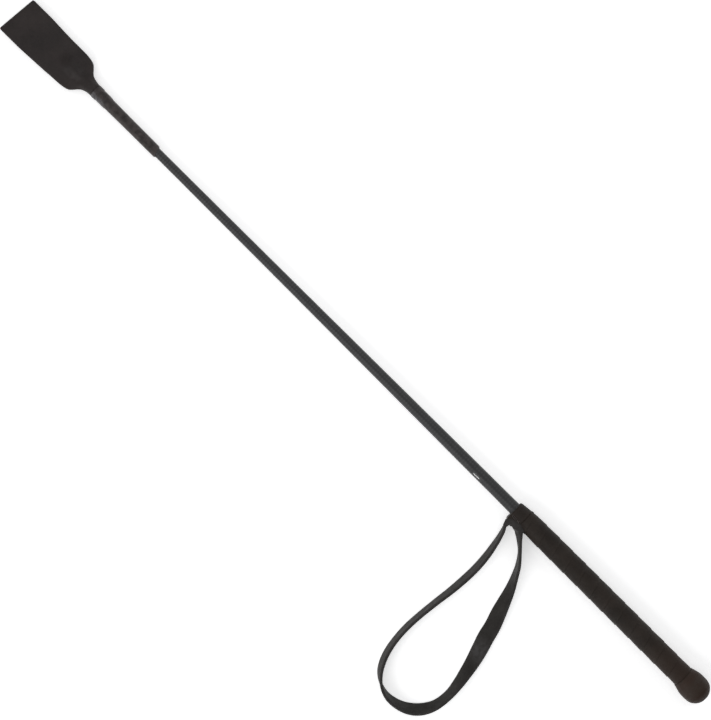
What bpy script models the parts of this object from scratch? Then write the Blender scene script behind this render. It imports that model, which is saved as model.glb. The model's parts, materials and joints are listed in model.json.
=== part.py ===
"""Riding crop: a leather keeper on a tapered, braided shaft, with a leather grip, a pommel and a wrist loop.

It lies on the plane z = 0, touching it at the neck of the keeper, at the pommel and along the wrist strap.
Stations run along the shaft from the keeper's tip (0) to the butt (LENGTH). The origin lies under the middle
of the shaft, +X points to the pommel, and the wrist loop lies on the -Y side. Units are metres.
"""

import math

import bmesh
import bpy
import numpy as np
from mathutils import Matrix, Vector

MM = 0.001

# Whole crop
LENGTH = 660 * MM
GAP = 0.3 * MM
SIDES = 32
INNER_SIDES = 24

# Keeper: a leather strip folded at the tip, closing round the rod's tip and narrowing to a neck
FLAP_HINGE = 48.0 * MM
PLY = 1.7 * MM
PLY_GAP = 0.4 * MM
STRETCH = 0.25 * MM
TIP_SKEW = 2.7 * MM
KEEPER_WIDTHS = [
    (0.0, 30.2), (17.0, 30.2), (30.0, 29.2), (38.0, 28.6), (50.0, 27.8), (55.0, 27.5), (58.0, 26.8),
    (60.5, 26.0), (62.5, 24.4), (64.0, 22.2), (65.5, 19.2), (67.0, 16.0), (68.5, 13.5), (70.5, 11.6),
    (73.0, 10.1), (75.6, 9.6),
]
KEEPER_DRIFT = [
    (0.0, -1.0), (16.0, -0.95), (40.0, -0.8), (48.0, -0.5), (60.0, -0.3), (69.0, -0.35), (73.0, 0.0),
]
NECK_END = 75.6 * MM
TAIL_END = 118.0 * MM
TAIL_PROFILE = [(75.6, 4.75), (76.05, 3.45), (100.0, 3.0), (118.0, 3.0)]
BASE_STATIONS = [52, 55, 58, 60.5, 62.5, 64, 65.5, 67, 68.5, 70.5, 73, 75.6, 76.05, 88, 100]
BASE_POINTS = 15
BASE_WRAP = 87
BELL_REACH = 2.2
SLIT_HALF = 0.12 * MM
ROLL_START = 63.0 * MM
ROLL_END = 74.0 * MM

# Whipping over the keeper's tails and the first of the braid
WHIPPING_PROFILE = [
    (76.4, 4.70), (76.9, 4.88), (80.5, 4.86), (81.5, 4.62), (88.5, 4.58), (89.8, 4.25), (98.0, 4.17),
    (106.0, 4.09), (118.0, 4.03), (135.4, 3.97), (136.0, 3.80),
]
WHIPPING_BORE = [(100.0, 3.3), (76.7, 3.75), (76.4, 3.75)]
WHIPPING_SLANT = -0.32

# Rod and its braided cover
ROD_TIP = 51.6 * MM
ROD_END = 652.0 * MM
ROD_PROFILE = [(51.6, 1.70), (118.0, 1.95), (139.0, 2.05)]
COVER_START = 118.4 * MM
COVER_END = 640.4 * MM
COVER_WALL = 0.6 * MM
COVER_PROFILE = [
    (118.4, 2.95), (139.0, 3.04), (172.0, 3.12), (204.0, 3.23), (236.0, 3.32), (268.0, 3.43), (300.0, 3.60),
    (332.0, 3.77), (364.0, 3.95), (396.0, 4.10), (428.0, 4.27), (460.0, 4.37), (478.0, 4.47), (520.0, 4.60),
    (640.4, 4.80),
]
CAP_START = 50.4 * MM
CAP_END = 58.0 * MM
CAP_RADIUS = 2.6 * MM
CAP_END_WALL = 0.9 * MM
CAP_EDGE = 0.6 * MM

# Grip
GRIP_WALL = 1.3 * MM
GRIP_PROFILE = [
    (487.9, 6.95), (488.5, 7.28), (492.0, 7.50), (500.0, 7.62), (510.0, 7.70), (525.0, 7.75), (560.0, 7.80),
    (600.0, 7.85), (639.2, 7.85),
]
CORE_START = 494.0 * MM
CORE_END = 639.2 * MM

# Pommel
POMMEL_PROFILE = [
    (639.5, 7.95), (640.3, 8.35), (642.3, 8.95), (645.0, 9.65), (648.0, 9.95), (650.5, 9.95),
    (653.2, 9.75), (655.2, 9.1), (657.0, 7.9), (658.4, 6.6), (659.3, 5.4), (659.5, 4.8),
]
POMMEL_MOUTH = [(641.4, 7.6), (640.7, 6.7), (639.5, 6.7)]
POMMEL_SEAT = (657.3, 4.8)
POMMEL_CORE_PROFILE = [
    (641.7, 7.0), (644.6, 8.2), (647.6, 8.6), (650.0, 8.6), (652.4, 8.3), (654.2, 7.6), (655.6, 6.5),
    (657.0, 4.4),
]
LEATHER_SKIN = 1.2 * MM
BUTT_DISC_RADIUS = 4.5 * MM
BUTT_DISC_THICKNESS = 1.2 * MM
BUTT_DISC_EDGE = 0.35 * MM

# Where the shaft's two rests touch the surface it lies on
POMMEL_REST = POMMEL_PROFILE[4]
NECK_REST = WHIPPING_PROFILE[1]

# Wrist loop: a flat strap on edge, held by a collar round the shaft. The collar widens towards the grip, and
# draws out at -Y to a flat face, where the strap's crown hangs, with a shoulder beside the crown.
COLLAR_SPAN = (478.9 * MM, 487.5 * MM)
COLLAR_PROFILE = [(478.9, 6.0), (487.5, 6.95)]
COLLAR_INSETS = [
    (478.9, 0.75), (479.2, 0.3), (479.8, 0.0), (480.2, 0.0), (480.6, 0.0), (481.0, 0.0), (481.6, 0.0),
    (482.2, 0.0), (483.0, 0.0), (487.2, 0.0), (487.5, 0.3),
]
HANGER_PROFILE = [
    (478.9, 8.2), (479.4, 8.6), (480.2, 8.6), (480.6, 8.45), (481.0, 8.15), (481.6, 7.9), (482.2, 7.78),
    (483.0, 7.75), (487.5, 7.75),
]
HANGER_HALF_HEIGHT = 4.8 * MM
THREAD_RADIUS = 0.3 * MM
LACING_POINTS = 7
LACING_ANGLE = 128
LACING_SWAY = 7
STRAP_WIDTH = 11.5 * MM
STRAP_THICKNESS = 2.0 * MM
STRAP_PIVOT = (152.6 * MM, -10.2 * MM)
STRAP_ROOT_RISE = 42.0 * MM
STRAP_STEPS = 96
CROWN_CROWDING = 0.72
# The strap's centre line on the surface (X, Y) and its lean from upright in degrees, in millimetres, from the
# crown at the collar down the leg nearer the keeper and back up the leg beside the grip. A positive lean
# turns the upper edge out of the loop.
STRAP_ROUTE = [
    (155.3, -9.05, 0), (154.0, -9.2, 3), (153.0, -9.85, 7), (152.5, -10.9, 9), (152.3, -12.4, 8),
    (152.65, -13.9, 3), (153.4, -16.1, -2), (154.7, -20.5, -5), (155.8, -25.1, -8), (157.6, -34.9, -12),
    (158.6, -46.0, -14), (158.4, -57.3, -14), (157.4, -69.9, -12), (155.7, -82.9, -10), (154.3, -95.9, -9),
    (153.6, -108.0, -10), (154.1, -118.9, -10), (155.8, -128.7, -12), (158.7, -137.0, -13),
    (163.1, -143.9, -10), (169.7, -149.0, 0), (178.2, -151.3, 12), (187.8, -149.8, 22), (195.5, -145.8, 30),
    (201.4, -139.6, 29), (205.2, -131.4, 22), (206.4, -121.0, 20), (205.5, -110.9, 28), (203.8, -101.4, 38),
    (202.1, -93.4, 50), (199.8, -84.6, 66), (197.2, -76.1, 76), (194.8, -67.2, 63), (191.6, -58.5, 55),
    (188.6, -50.1, 40), (185.5, -41.5, 26), (181.9, -33.5, 14), (177.9, -26.0, 7), (172.2, -18.7, 0),
    (166.7, -13.6, 5), (162.0, -9.7, 14), (158.7, -9.07, 5),
]


def scaled(profile):
    """A list of (station, value) pairs from millimetres to metres."""
    return [(a * MM, b * MM) for a, b in profile]


def value_at(profile, station):
    """The profile's value at a station, in metres."""
    points = scaled(profile)
    return float(np.interp(station, [p[0] for p in points], [p[1] for p in points]))


def smooth_step(low, high, x):
    t = min(max((x - low) / (high - low), 0.0), 1.0)
    return t * t * (3.0 - 2.0 * t)


def along(station):
    """X of a station before the crop is tipped onto its rests."""
    return station - LENGTH / 2


def clear_scene():
    for item in list(bpy.data.objects):
        bpy.data.objects.remove(item, do_unlink=True)


def material(name, color, roughness, metallic=0.0):
    made = bpy.data.materials.new(name)
    made.use_nodes = True
    shader = made.node_tree.nodes["Principled BSDF"]
    shader.inputs["Base Color"].default_value = (*color, 1.0)
    shader.inputs["Roughness"].default_value = roughness
    shader.inputs["Metallic"].default_value = metallic
    return made


def finished(name, mesh_data, surface):
    """A bmesh made into a named object with outward faces and one material."""
    bmesh.ops.remove_doubles(mesh_data, verts=mesh_data.verts, dist=1e-7)
    bmesh.ops.recalc_face_normals(mesh_data, faces=mesh_data.faces)
    mesh = bpy.data.meshes.new(name)
    mesh_data.to_mesh(mesh)
    mesh_data.free()
    mesh.shade_smooth()
    mesh.set_sharp_from_angle(angle=math.radians(35))
    mesh.materials.append(surface)
    made = bpy.data.objects.new(name, mesh)
    bpy.context.scene.collection.objects.link(made)
    return made


def turned(name, surface, outline, sides=SIDES):
    """A solid of revolution about X from (station, radius) points. An outline that starts and ends on the
    axis is solid. Any other outline is closed on itself, which leaves a bore. A flat side faces down."""
    bm = bmesh.new()
    half_step = math.pi / sides
    angle = -math.pi / 2 + half_step
    points = [
        bm.verts.new((along(s), r * math.cos(angle), r * math.sin(angle))) for s, r in outline
    ]
    edges = [bm.edges.new(pair) for pair in zip(points, points[1:])]
    if outline[0][1] > 0:
        edges.append(bm.edges.new((points[-1], points[0])))
    bmesh.ops.spin(
        bm, geom=points + edges, cent=(0, 0, 0), axis=(1, 0, 0), angle=2 * math.pi, steps=sides,
    )
    return finished(name, bm, surface)


def lofted(name, surface, rings, closed=False):
    """A skin over rings of equal point counts: a closed chain of rings, or an open one with end caps."""
    bm = bmesh.new()
    rows = [[bm.verts.new(point) for point in ring] for ring in rings]
    pairs = list(zip(rows, rows[1:]))
    if closed:
        pairs.append((rows[-1], rows[0]))
    count = len(rings[0])
    for row, following in pairs:
        for k in range(count):
            bm.faces.new((row[k], row[(k + 1) % count], following[(k + 1) % count], following[k]))
    if not closed:
        bm.faces.new(rows[0])
        bm.faces.new(list(reversed(rows[-1])))
    return finished(name, bm, surface)


def empty(name, location):
    made = bpy.data.objects.new(name, None)
    made.location = location
    made.empty_display_size = 0.02
    bpy.context.scene.collection.objects.link(made)
    return made


def attach(child, parent):
    """Parents child to parent and keeps the child where it is."""
    bpy.context.view_layer.update()
    child.parent = parent
    child.matrix_parent_inverse = parent.matrix_world.inverted()


def moved_origin(item, point):
    """Puts the object's origin at a point and leaves its surface in place."""
    item.data.transform(Matrix.Translation(-Vector(point)))
    item.location = point


# Shaft


def rod_radius(station):
    if station < 139 * MM:
        return value_at(ROD_PROFILE, station)
    return value_at(COVER_PROFILE, station) - COVER_WALL - GAP


def make_shaft_rod(surface):
    stations = [ROD_TIP, 118 * MM] + [p[0] * MM for p in COVER_PROFILE[1:-1]] + [ROD_END]
    outline = [(ROD_TIP, 0.0)] + [(s, rod_radius(s)) for s in stations] + [(ROD_END, 0.0)]
    return turned("shaft_rod", surface, outline, INNER_SIDES)


def make_tip_cap(surface):
    bore = rod_radius(CAP_END) + GAP
    floor = CAP_START + CAP_END_WALL
    outline = [
        (CAP_START, 0.0),
        (CAP_START, CAP_RADIUS - CAP_EDGE),
        (CAP_START + CAP_EDGE, CAP_RADIUS),
        (CAP_END, CAP_RADIUS),
        (CAP_END, bore),
        (floor, bore),
        (floor, 0.0),
    ]
    return turned("tip_cap", surface, outline, INNER_SIDES)


def make_shaft_cover(surface):
    outer = scaled(COVER_PROFILE)
    inner_stations = [COVER_END, 520 * MM, 393 * MM, 257 * MM, 139 * MM, COVER_START]
    inner = [(s, value_at(COVER_PROFILE, s) - COVER_WALL) for s in inner_stations]
    return turned("shaft_cover", surface, outer + inner)


# Keeper


def flap_section():
    """The folded flap's outline in the lengthwise plane, as (distance from hinge to tip, height). It is a
    U: two plies joined by the fold at the tip, with a rounded root centred on the hinge."""
    half = PLY + PLY_GAP / 2
    slot = PLY_GAP / 2
    fold_center = FLAP_HINGE - half
    lengths = [0.0, 10 * MM, 18 * MM, 31 * MM, fold_center]
    top = [(d, half) for d in lengths]
    fold = [
        (fold_center + half * math.sin(a), half * math.cos(a))
        for a in np.linspace(math.radians(22.5), math.radians(157.5), 7)
    ]
    bottom = [(d, -half) for d in reversed(lengths)]
    root_angles = [math.radians(a) for a in (-60, -32, -6)]
    lower_root = [(-half * math.cos(a), half * math.sin(a)) for a in root_angles]
    lower_slot = [(d, -slot) for d in (0.0, 18 * MM, fold_center)]
    upper_slot = [(d, slot) for d in (fold_center, 18 * MM, 0.0)]
    upper_root = [(-half * math.cos(a), half * math.sin(-a)) for a in reversed(root_angles)]
    slot_end = [(fold_center + slot, 0.0)]
    return top + fold + bottom + lower_root + lower_slot + slot_end + upper_slot + upper_root


def make_keeper_flap(surface):
    section = flap_section()
    half_tip = value_at(KEEPER_WIDTHS, 0.0) / 2
    rings = []
    for share in (-1.0, -0.5, 0.0, 0.5, 1.0):
        ring = []
        for distance, height in section:
            station = FLAP_HINGE - distance
            y = share * value_at(KEEPER_WIDTHS, station) / 2
            near_tip = max(distance, 0.0) / FLAP_HINGE
            drift = value_at(KEEPER_DRIFT, station)
            station += TIP_SKEW * near_tip * (y + half_tip) / (2 * half_tip)
            ring.append((along(station), y + drift, height))
        rings.append(ring)
    return lofted("keeper_flap", surface, rings)


def ply_ring(station, side):
    """One ply's closed section: flat with a ridge over the rod near the flap, a half shell at the neck."""
    half_width = value_at(KEEPER_WIDTHS, station) / 2
    rod = CAP_RADIUS if station < CAP_END + 1.5 * MM else rod_radius(station)
    bore = rod + GAP
    rise = smooth_step(FLAP_HINGE - 4 * MM, CAP_START + 1 * MM, station)
    rolled = smooth_step(ROLL_START, ROLL_END, station)
    drift = value_at(KEEPER_DRIFT, station) * (1.0 - rolled)
    shell_outer = value_at(TAIL_PROFILE, station)
    inner = []
    outer = []
    for v in np.linspace(-1.0, 1.0, BASE_POINTS):
        y = v * half_width
        bell = rise * (0.5 + 0.5 * math.cos(math.pi * min(abs(y + drift) / (BELL_REACH * bore), 1.0)))
        low = PLY_GAP / 2 + (bore - PLY_GAP / 2) * bell
        angle = v * math.radians(BASE_WRAP)
        turn = Vector((math.sin(angle), math.cos(angle)))
        inner.append(Vector((y, low)).lerp(turn * bore, rolled))
        outer.append(Vector((y, low + PLY - STRETCH * bell)).lerp(turn * shell_outer, rolled))
    spread = half_width / outer[-1].x if station < NECK_END else 1.0
    ring = outer + list(reversed(inner))
    return [(along(station), p.x * spread + drift, side * max(p.y, SLIT_HALF)) for p in ring]


def make_keeper_base(name, surface, side):
    start = FLAP_HINGE + PLY + PLY_GAP / 2 + 0.4 * MM
    stations = [start] + [s * MM for s in BASE_STATIONS] + [TAIL_END]
    return lofted(name, surface, [ply_ring(s, side) for s in stations])


def make_keeper_whipping(surface):
    """The whipping, with an end that leans back on its +Y side."""
    outer = scaled(WHIPPING_PROFILE)
    end = outer[-1][0]
    inner = [(end, value_at(COVER_PROFILE, end) + GAP)] + scaled(WHIPPING_BORE)
    whipping = turned("keeper_whipping", surface, outer + inner)
    for vert in whipping.data.vertices:
        near_end = smooth_step(along(COVER_START), along(end), vert.co.x)
        vert.co.x += WHIPPING_SLANT * near_end * vert.co.y
    return whipping


# Handle


def make_grip_wrap(surface):
    outer = scaled(GRIP_PROFILE)
    inner = [(s, r - GRIP_WALL) for s, r in reversed(outer[3:])]
    bore_at_top = value_at(COVER_PROFILE, CORE_START) + GAP
    inner += [(CORE_START - GAP, inner[-1][1]), (CORE_START - GAP, bore_at_top), (outer[0][0], bore_at_top)]
    return turned("grip_wrap", surface, outer + inner)


def make_handle_core(surface):
    stations = [CORE_START, 500 * MM, 510 * MM, 560 * MM, 600 * MM, CORE_END]
    outer = [(s, value_at(GRIP_PROFILE, max(s, 500 * MM)) - GRIP_WALL - GAP) for s in stations]
    bore = [(s, value_at(COVER_PROFILE, s) + GAP) for s in (CORE_END, 520 * MM, CORE_START)]
    return turned("handle_core", surface, outer + bore, INNER_SIDES)


def make_pommel_cover(surface):
    outer = scaled(POMMEL_PROFILE)
    inner = scaled([POMMEL_SEAT])
    inner += [(s - 0.6 * LEATHER_SKIN, r - 0.8 * LEATHER_SKIN) for s, r in reversed(outer[3:9])]
    inner += scaled(POMMEL_MOUTH)
    return turned("pommel_cover", surface, outer + inner)


def make_pommel_core(surface):
    bore = rod_radius(ROD_END) + GAP
    floor = ROD_END + GAP
    outer = scaled(POMMEL_CORE_PROFILE)
    outline = [(floor, 0.0), (floor, bore), (outer[0][0], bore)] + outer + [(outer[-1][0], 0.0)]
    return turned("pommel_core", surface, outline, INNER_SIDES)


def make_butt_disc(surface):
    start = LENGTH - BUTT_DISC_THICKNESS
    outline = [
        (start, 0.0), (start, BUTT_DISC_RADIUS), (LENGTH - BUTT_DISC_EDGE, BUTT_DISC_RADIUS),
        (LENGTH, BUTT_DISC_RADIUS - BUTT_DISC_EDGE), (LENGTH, 0.0),
    ]
    return turned("butt_disc", surface, outline, INNER_SIDES)


# Wrist loop


def collar_radius(angle, station):
    """The collar's outer radius at an angle about the shaft, from +Y, and at a station. Flanks that touch the
    round part run to the corners of the flat face."""
    ring = value_at(COLLAR_PROFILE, station)
    face = value_at(HANGER_PROFILE, station)
    away = abs(math.remainder(angle - math.pi, 2 * math.pi))
    corner = math.atan2(HANGER_HALF_HEIGHT, face)
    if away <= corner:
        return face / math.cos(away)
    tangent = corner + math.acos(ring / math.hypot(face, HANGER_HALF_HEIGHT))
    return ring / math.cos(max(tangent - away, 0.0))


def make_loop_collar(surface):
    first, last = COLLAR_SPAN
    bore = value_at(COVER_PROFILE, last) + GAP
    corner = math.atan2(HANGER_HALF_HEIGHT, value_at(HANGER_PROFILE, last))
    turns = [2 * math.pi * (k + 0.5) / SIDES for k in range(SIDES)]
    turns = sorted(turns + [math.pi - corner, math.pi + corner])
    rings = []
    for station, inset in scaled(COLLAR_INSETS):
        rings.append([
            (along(station), r * math.cos(a), r * math.sin(a))
            for a in turns
            for r in [collar_radius(a, station) - inset]
        ])
    for station in (last, first):
        rings.append([(along(station), bore * math.cos(a), bore * math.sin(a)) for a in turns])
    return lofted("loop_collar", surface, rings, closed=True)


def make_collar_thread(surface):
    """One thread laced to and fro over the collar's overlap, above its flat face."""
    curve = bpy.data.curves.new("collar_thread", "CURVE")
    curve.dimensions = "3D"
    curve.bevel_depth = THREAD_RADIUS
    curve.bevel_resolution = 2
    curve.use_fill_caps = True
    lacing = curve.splines.new("POLY")
    lacing.points.add(LACING_POINTS - 1)
    for k, point in enumerate(lacing.points):
        angle = math.radians(LACING_ANGLE + (LACING_SWAY if k % 2 else -LACING_SWAY))
        share = (k + 0.5) / LACING_POINTS
        station = COLLAR_SPAN[0] + share * (COLLAR_SPAN[1] - COLLAR_SPAN[0])
        radius = collar_radius(angle, station) + GAP + THREAD_RADIUS
        point.co = (along(station), radius * math.cos(angle), radius * math.sin(angle), 1.0)
    curve.materials.append(surface)
    made = bpy.data.objects.new("collar_thread", curve)
    bpy.context.scene.collection.objects.link(made)
    return made


def closed_spline(points, count):
    """Points on a closed Catmull-Rom curve through the given points, closest together near the first one."""
    rows = np.array(points, float)
    total = len(rows)
    fine = []
    for i in range(total):
        p0, p1, p2, p3 = (rows[(i + k) % total] for k in (-1, 0, 1, 2))
        for t in np.linspace(0.0, 1.0, 12, endpoint=False):
            fine.append(0.5 * (
                2 * p1 + (p2 - p0) * t + (2 * p0 - 5 * p1 + 4 * p2 - p3) * t ** 2
                + (3 * p1 - p0 - 3 * p2 + p3) * t ** 3
            ))
    fine = np.array(fine + [fine[0]])
    travelled = np.concatenate([[0.0], np.cumsum(np.linalg.norm(np.diff(fine[:, :2], axis=0), axis=1))])
    share = np.arange(count) / count
    wanted = travelled[-1] * (share - CROWN_CROWDING * np.sin(2 * math.pi * share) / (2 * math.pi))
    rows = np.column_stack([np.interp(wanted, travelled, fine[:, k]) for k in range(3)])
    return rows, wanted, travelled[-1]


def strap_rings(shaft_height):
    """Four-cornered sections of the strap on its route. It rests on its lower edge, and rises to the
    shaft's height at the crown."""
    points, travelled, length = closed_spline(STRAP_ROUTE, STRAP_STEPS)
    rings = []
    for k, (x, y, lean) in enumerate(points):
        before = points[k - 1]
        after = points[(k + 1) % STRAP_STEPS]
        tangent = Vector((after[0] - before[0], after[1] - before[1], 0.0)).normalized()
        outward = Vector((tangent.y, -tangent.x, 0.0))
        angle = math.radians(lean)
        up = Vector((0, 0, 1)) * math.cos(angle) + outward * math.sin(angle)
        side = outward * math.cos(angle) - Vector((0, 0, 1)) * math.sin(angle)
        rest = STRAP_WIDTH / 2 * abs(math.cos(angle)) + STRAP_THICKNESS / 2 * abs(math.sin(angle))
        from_crown = min(travelled[k], length - travelled[k]) * MM
        lifted = 1.0 - smooth_step(0.0, STRAP_ROOT_RISE, from_crown)
        height = rest + (shaft_height - rest) * lifted
        center = Vector((x * MM, y * MM, height))
        half_up = up * (STRAP_WIDTH / 2)
        half_side = side * (STRAP_THICKNESS / 2)
        rings.append([
            center + half_up + half_side,
            center + half_up - half_side,
            center - half_up - half_side,
            center - half_up + half_side,
        ])
    return rings


# Placing


def resting_pose():
    """Tilt and height of the shaft's axis when a flat of the pommel and of the neck both touch z = 0."""
    flat = math.cos(math.pi / SIDES)
    pommel, neck = scaled([POMMEL_REST, NECK_REST])
    tilt = math.asin((pommel[1] - neck[1]) * flat / (pommel[0] - neck[0]))
    height = neck[1] * flat / math.cos(tilt) - math.tan(tilt) * along(neck[0])
    return tilt, height


def build():
    clear_scene()
    keeper_leather = material("keeper_leather", (0.030, 0.026, 0.025), 0.55)
    grip_leather = material("grip_leather", (0.028, 0.023, 0.020), 0.60)
    strap_leather = material("strap_leather", (0.045, 0.043, 0.042), 0.50)
    thread = material("whipping_thread", (0.045, 0.042, 0.040), 0.65)
    braid = material("lacquered_braid", (0.055, 0.056, 0.058), 0.25)
    fibreglass = material("fibreglass", (0.50, 0.48, 0.38), 0.40)
    rubber = material("black_rubber", (0.02, 0.02, 0.02), 0.70)
    core_wood = material("core_wood", (0.45, 0.30, 0.16), 0.60)

    tilt, height = resting_pose()
    crop_axis = empty("crop_axis", (0.0, 0.0, height))
    crop_axis.rotation_euler = (0.0, -tilt, 0.0)
    on_shaft = [
        make_shaft_rod(fibreglass),
        make_tip_cap(rubber),
        make_shaft_cover(braid),
        make_keeper_base("keeper_base_upper", keeper_leather, 1),
        make_keeper_base("keeper_base_lower", keeper_leather, -1),
        make_keeper_whipping(thread),
        make_handle_core(rubber),
        make_grip_wrap(grip_leather),
        make_pommel_core(core_wood),
        make_pommel_cover(grip_leather),
        make_butt_disc(grip_leather),
    ]
    for item in on_shaft:
        item.parent = crop_axis

    hinge = empty("keeper_hinge", (along(FLAP_HINGE), 0.0, 0.0))
    hinge.parent = crop_axis
    flap = make_keeper_flap(keeper_leather)
    moved_origin(flap, (along(FLAP_HINGE), 0.0, 0.0))
    flap.location = (0.0, 0.0, 0.0)
    flap.parent = hinge

    swivel = empty("loop_swivel", (STRAP_PIVOT[0], 0.0, 0.0))
    swivel.parent = crop_axis
    for item in (make_loop_collar(grip_leather), make_collar_thread(thread)):
        item.location = (-STRAP_PIVOT[0], 0.0, 0.0)
        item.parent = swivel

    root_height = height + math.tan(tilt) * STRAP_PIVOT[0]
    swing = empty("loop_swing", (*STRAP_PIVOT, root_height))
    attach(swing, swivel)
    strap = lofted("wrist_strap", strap_leather, strap_rings(root_height), closed=True)
    moved_origin(strap, (*STRAP_PIVOT, root_height))
    attach(strap, swing)


build()
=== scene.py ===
"""Looks of the riding crop: its leather, thread, braid and wrist strap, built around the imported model."""

import json
import math

import bmesh
import bpy
import numpy as np
from mathutils import Matrix, Vector, noise
from mathutils.bvhtree import BVHTree


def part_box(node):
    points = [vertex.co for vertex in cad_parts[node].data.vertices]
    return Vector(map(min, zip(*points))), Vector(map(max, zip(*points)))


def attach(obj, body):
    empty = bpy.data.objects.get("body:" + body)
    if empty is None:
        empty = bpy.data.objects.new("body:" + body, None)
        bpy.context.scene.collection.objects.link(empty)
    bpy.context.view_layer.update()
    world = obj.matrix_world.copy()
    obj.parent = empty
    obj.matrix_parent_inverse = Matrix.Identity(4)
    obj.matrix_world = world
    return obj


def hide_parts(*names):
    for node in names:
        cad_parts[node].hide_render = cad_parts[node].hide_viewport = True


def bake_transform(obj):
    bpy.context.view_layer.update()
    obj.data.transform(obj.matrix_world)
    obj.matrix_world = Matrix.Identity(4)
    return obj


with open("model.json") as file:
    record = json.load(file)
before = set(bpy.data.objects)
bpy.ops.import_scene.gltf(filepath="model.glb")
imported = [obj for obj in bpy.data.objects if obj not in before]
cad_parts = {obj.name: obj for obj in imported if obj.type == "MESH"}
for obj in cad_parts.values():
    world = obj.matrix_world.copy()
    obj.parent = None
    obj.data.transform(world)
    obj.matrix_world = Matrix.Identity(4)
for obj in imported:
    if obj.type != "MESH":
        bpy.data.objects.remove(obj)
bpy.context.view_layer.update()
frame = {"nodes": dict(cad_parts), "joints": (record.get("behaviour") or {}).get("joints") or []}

MM = 0.001
JOINTS = {joint["name"]: joint for joint in frame["joints"]}


def shaft_matrix():
    """From the shaft's own frame to the row frame: x runs along its axis, with x = 0 over the origin."""
    swivel = JOINTS["loop_swivel"]
    axis = Vector(swivel["axis"]).normalized()
    point = Vector(swivel["pos_m"])
    origin = point - axis * (point.x / axis.x)
    side = Vector((0, 1, 0))
    return Matrix.Translation(origin) @ Matrix((axis, side, axis.cross(side))).transposed().to_4x4()


SHAFT = shaft_matrix()
HALF_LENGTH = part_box("butt_disc")[1].x


def along(station):
    """The shaft's x at a station, in millimetres from the keeper's tip."""
    return station * MM - HALF_LENGTH


def station_of(x):
    return (x + HALF_LENGTH) / MM


def shaft_point(station, radius, angle):
    """In the shaft's frame, in millimetres. The angle goes from +Y towards +Z."""
    return along(station) / MM, radius * math.cos(angle), radius * math.sin(angle)


# Curves through points


def smooth_step(low, high, x):
    t = min(max((x - low) / (high - low), 0.0), 1.0)
    return t * t * (3.0 - 2.0 * t)


def eased(points):
    """A function through (x, y) points that stays between its neighbours, without corners."""
    xs = np.array([p[0] for p in points], float)
    ys = np.array([p[1] for p in points], float)
    slope = np.diff(ys) / np.diff(xs)
    tangent = np.zeros(len(xs))
    for i in range(1, len(xs) - 1):
        if slope[i - 1] * slope[i] > 0:
            tangent[i] = 2 * slope[i - 1] * slope[i] / (slope[i - 1] + slope[i])

    def value(x):
        x = min(max(x, xs[0]), xs[-1])
        i = min(int(np.searchsorted(xs, x, side="right")) - 1, len(xs) - 2)
        h = xs[i + 1] - xs[i]
        t = (x - xs[i]) / h
        a = ys[i] * (1 + 2 * t) * (1 - t) ** 2 + ys[i + 1] * t * t * (3 - 2 * t)
        return float(a + h * tangent[i] * t * (1 - t) ** 2 - h * tangent[i + 1] * t * t * (1 - t))

    return value


def outline_of(node):
    """A function of station: how far the turned CAD node reaches from the shaft's axis, in millimetres."""
    to_shaft = SHAFT.inverted()
    mesh = frame["nodes"][node].data
    points = [to_shaft @ v.co for v in mesh.vertices]
    tree = BVHTree.FromPolygons(points, [p.vertices[:] for p in mesh.polygons])
    low = min(p.x for p in points) + 0.02 * MM
    high = max(p.x for p in points) - 0.02 * MM

    def reach(station):
        x = min(max(along(station), low), high)
        hit = tree.ray_cast(Vector((x, 0, 0.05)), Vector((0, 0, -1)))
        return hit[0].z / MM

    return reach


def closed_spline(points, spacing):
    """Points on a closed Catmull-Rom curve, how far along each one is, and the curve's length. spacing gives
    the distances, from the length."""
    rows = np.array(points, float)
    total = len(rows)
    fine = []
    for i in range(total):
        p0, p1, p2, p3 = (rows[(i + k) % total] for k in (-1, 0, 1, 2))
        for t in np.linspace(0.0, 1.0, 16, endpoint=False):
            fine.append(0.5 * (
                2 * p1 + (p2 - p0) * t + (2 * p0 - 5 * p1 + 4 * p2 - p3) * t ** 2
                + (3 * p1 - p0 - 3 * p2 + p3) * t ** 3
            ))
    fine = np.array(fine + [fine[0]])
    steps = np.linalg.norm(np.diff(fine[:, :2], axis=0), axis=1)
    travelled = np.concatenate([[0.0], np.cumsum(steps)])
    wanted = spacing(travelled[-1])
    rows = np.column_stack([np.interp(wanted, travelled, fine[:, k]) for k in range(3)])
    return rows, wanted, travelled[-1]


# Meshes


def skin(name, rows, ends="cap", wear_tone_and_painted_light=None, placed=SHAFT, lay=None):
    """A mesh over rows of points in millimetres, each row a closed ring. ends is cap, or loop where the last
    row meets the first. The mask that follows ends is 0 to 1 at each point: how rubbed leather is, which on
    the strap also marks painted highlights, a painted sheen on the thread, and on the braid its strand tone
    with painted shade in the hollows. lay is the place along and around a thread."""
    rows = np.asarray(rows, float)
    count, around, _ = rows.shape
    index = np.arange(count * around).reshape(count, around)
    faces = []
    for i in range(count if ends == "loop" else count - 1):
        a, b = index[i], index[(i + 1) % count]
        faces += np.column_stack([a, np.roll(a, -1), np.roll(b, -1), b]).tolist()
    if ends == "cap":
        faces += [index[0][::-1].tolist(), index[-1].tolist()]
    mesh = bpy.data.meshes.new(name)
    mesh.from_pydata((rows.reshape(-1, 3) * MM).tolist(), [], faces)
    mesh.transform(placed)
    add_floats(mesh, "wear_tone_and_painted_light", np.zeros(count * around) if wear_tone_and_painted_light is None else np.asarray(wear_tone_and_painted_light).reshape(-1))
    if lay is not None:
        lay_attribute = mesh.attributes.new("lay", "FLOAT_VECTOR", "POINT")
        lay_attribute.data.foreach_set("vector", np.asarray(lay, np.float32).reshape(-1))
    bm = bmesh.new()
    bm.from_mesh(mesh)
    bmesh.ops.remove_doubles(bm, verts=bm.verts, dist=1e-7)
    return piece_of(mesh, bm, 60)


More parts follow.
